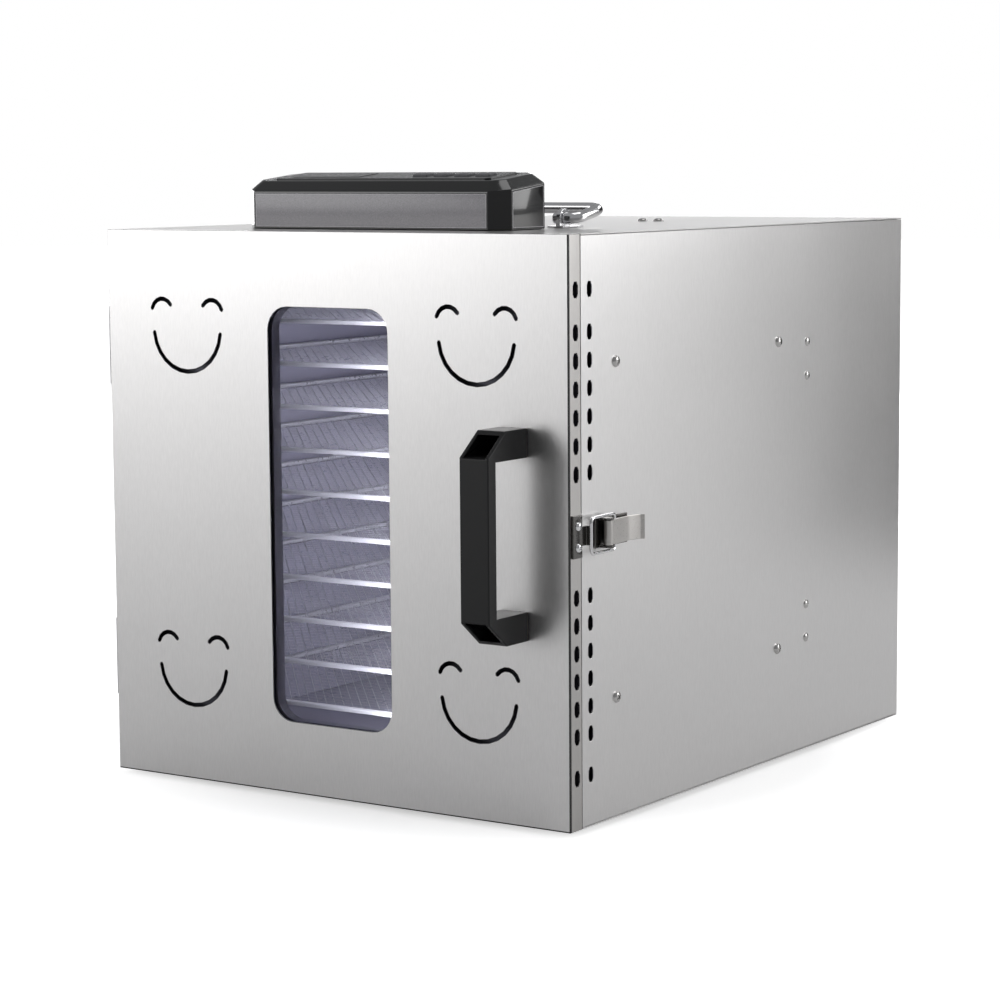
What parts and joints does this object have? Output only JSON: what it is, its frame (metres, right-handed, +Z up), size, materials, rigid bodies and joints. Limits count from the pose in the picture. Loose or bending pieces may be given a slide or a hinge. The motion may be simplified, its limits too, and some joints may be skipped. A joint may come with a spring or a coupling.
{
  "type": "food dehydrator",
  "caption": "Countertop food dehydrator: steel cabinet, hinged glazed door with draw latch, sliding mesh trays, rear fan and heater, top control housing.",
  "frame": {"origin": "middle of the footprint of the whole object, on the surface that it stands on", "axes": "+X towards the latch side, -Y out of the front of the door, +Z up"},
  "size_m": [0.4438, 0.5734, 0.4715],
  "materials": {
    "brushed_steel": "brushed",
    "inner_steel": "satin",
    "tray_mesh": "bright",
    "chrome": "polished",
    "black_plastic": "satin",
    "gloss_panel": "gloss",
    "glass": "polished",
    "rubber": "matte",
    "button_rubber": "matte",
    "circuit_board": "satin",
    "heater_sheath": "oxidised",
    "fan_metal": "satin"
  },
  "bodies": {
    "cabinet": {"base_panel": "brushed_steel", "top_panel": "brushed_steel", "side_panel_left": "brushed_steel", "side_panel_right": "brushed_steel", "rear_panel": "brushed_steel", "front_frame": "inner_steel", "chamber_roof": "inner_steel", "chamber_floor": "inner_steel", "tray_rack_left": "inner_steel", "tray_rack_right": "inner_steel", "fan_baffle": "inner_steel", "fan_guard": "inner_steel", "motor_bracket": "inner_steel", "fan_motor": "fan_metal", "heater_element": "heater_sheath", "thermal_cutout": "black_plastic", "temperature_probe": "chrome", "power_inlet": "black_plastic", "foot_front_left": "rubber", "foot_front_right": "rubber", "foot_rear_left": "rubber", "foot_rear_right": "rubber", "cabinet_hinge_leaf_lower": "brushed_steel", "hinge_pin_lower": "chrome", "cabinet_hinge_leaf_upper": "brushed_steel", "hinge_pin_upper": "chrome", "latch_base": "chrome", "control_housing": "black_plastic", "control_panel": "gloss_panel", "display_window": "gloss_panel", "control_board": "circuit_board", "handle_bracket_left": "chrome", "handle_bracket_right": "chrome"},
    "door": {"door_skin": "brushed_steel", "window_glass": "glass", "window_gasket": "rubber", "door_inner_panel": "inner_steel", "door_seal": "rubber", "door_handle": "black_plastic", "door_hinge_leaf_lower": "brushed_steel", "door_hinge_leaf_upper": "brushed_steel", "latch_catch": "chrome"},
    "carry_handle": {"carry_handle": "chrome"},
    "latch_lever": {"latch_lever": "chrome"},
    "latch_loop": {"latch_loop": "chrome"},
    "fan": {"fan_impeller": "fan_metal"},
    "button_1": {"button_1": "button_rubber"},
    "button_2": {"button_2": "button_rubber"},
    "button_3": {"button_3": "button_rubber"},
    "button_4": {"button_4": "button_rubber"},
    "tray_01": {"tray_01": "tray_mesh"},
    "tray_02": {"tray_02": "tray_mesh"},
    "tray_03": {"tray_03": "tray_mesh"},
    "tray_04": {"tray_04": "tray_mesh"},
    "tray_05": {"tray_05": "tray_mesh"},
    "tray_06": {"tray_06": "tray_mesh"},
    "tray_07": {"tray_07": "tray_mesh"},
    "tray_08": {"tray_08": "tray_mesh"},
    "tray_09": {"tray_09": "tray_mesh"},
    "tray_10": {"tray_10": "tray_mesh"}
  },
  "joints": [
    {"name": "door_hinge", "type": "hinge", "parent": "cabinet", "child": "door", "pos_m": [-0.21795, -0.22075, 0.216], "axis": [0, 0, -1], "range_deg": [0, 180]},
    {"name": "carry_handle_fold", "type": "hinge", "parent": "cabinet", "child": "carry_handle", "pos_m": [-0.00145, -0.08365, 0.4362], "axis": [1, 0, 0], "range_deg": [0, 92]},
    {"name": "latch_lever_swing", "type": "hinge", "parent": "cabinet", "child": "latch_lever", "pos_m": [0.21755, -0.19565, 0.216], "axis": [0, 0, -1], "range_deg": [0, 120]},
    {"name": "latch_loop_swing", "type": "hinge", "parent": "latch_lever", "child": "latch_loop", "pos_m": [0.21705, -0.18665, 0.216], "axis": [0, 0, -1], "range_deg": [-132, 0]},
    {"name": "fan_spin", "type": "hinge", "parent": "cabinet", "child": "fan", "pos_m": [-0.00145, 0.21335, 0.216], "axis": [0, 1, 0], "continuous": true},
    {"name": "button_1_press", "type": "slide", "parent": "cabinet", "child": "button_1", "axis": [0, 0.1045, -0.9945], "range_m": [0, 0.0008], "stiffness_N_per_m": 300},
    {"name": "button_2_press", "type": "slide", "parent": "cabinet", "child": "button_2", "axis": [0, 0.1045, -0.9945], "range_m": [0, 0.0008], "stiffness_N_per_m": 300},
    {"name": "button_3_press", "type": "slide", "parent": "cabinet", "child": "button_3", "axis": [0, 0.1045, -0.9945], "range_m": [0, 0.0008], "stiffness_N_per_m": 300},
    {"name": "button_4_press", "type": "slide", "parent": "cabinet", "child": "button_4", "axis": [0, 0.1045, -0.9945], "range_m": [0, 0.0008], "stiffness_N_per_m": 300},
    {"name": "tray_01_slide", "type": "slide", "parent": "cabinet", "child": "tray_01", "axis": [0, -1, 0], "range_m": [0, 0.015]},
    {"name": "tray_02_slide", "type": "slide", "parent": "cabinet", "child": "tray_02", "axis": [0, -1, 0], "range_m": [0, 0.015]},
    {"name": "tray_03_slide", "type": "slide", "parent": "cabinet", "child": "tray_03", "axis": [0, -1, 0], "range_m": [0, 0.015]},
    {"name": "tray_04_slide", "type": "slide", "parent": "cabinet", "child": "tray_04", "axis": [0, -1, 0], "range_m": [0, 0.015]},
    {"name": "tray_05_slide", "type": "slide", "parent": "cabinet", "child": "tray_05", "axis": [0, -1, 0], "range_m": [0, 0.015]},
    {"name": "tray_06_slide", "type": "slide", "parent": "cabinet", "child": "tray_06", "axis": [0, -1, 0], "range_m": [0, 0.015]},
    {"name": "tray_07_slide", "type": "slide", "parent": "cabinet", "child": "tray_07", "axis": [0, -1, 0], "range_m": [0, 0.015]},
    {"name": "tray_08_slide", "type": "slide", "parent": "cabinet", "child": "tray_08", "axis": [0, -1, 0], "range_m": [0, 0.015]},
    {"name": "tray_09_slide", "type": "slide", "parent": "cabinet", "child": "tray_09", "axis": [0, -1, 0], "range_m": [0, 0.015]},
    {"name": "tray_10_slide", "type": "slide", "parent": "cabinet", "child": "tray_10", "axis": [0, -1, 0], "range_m": [0, 0.015]}
  ],
  "couplings": [
    {"joint": "latch_loop_swing", "follows": "latch_lever_swing", "ratio": -1.1}
  ]
}
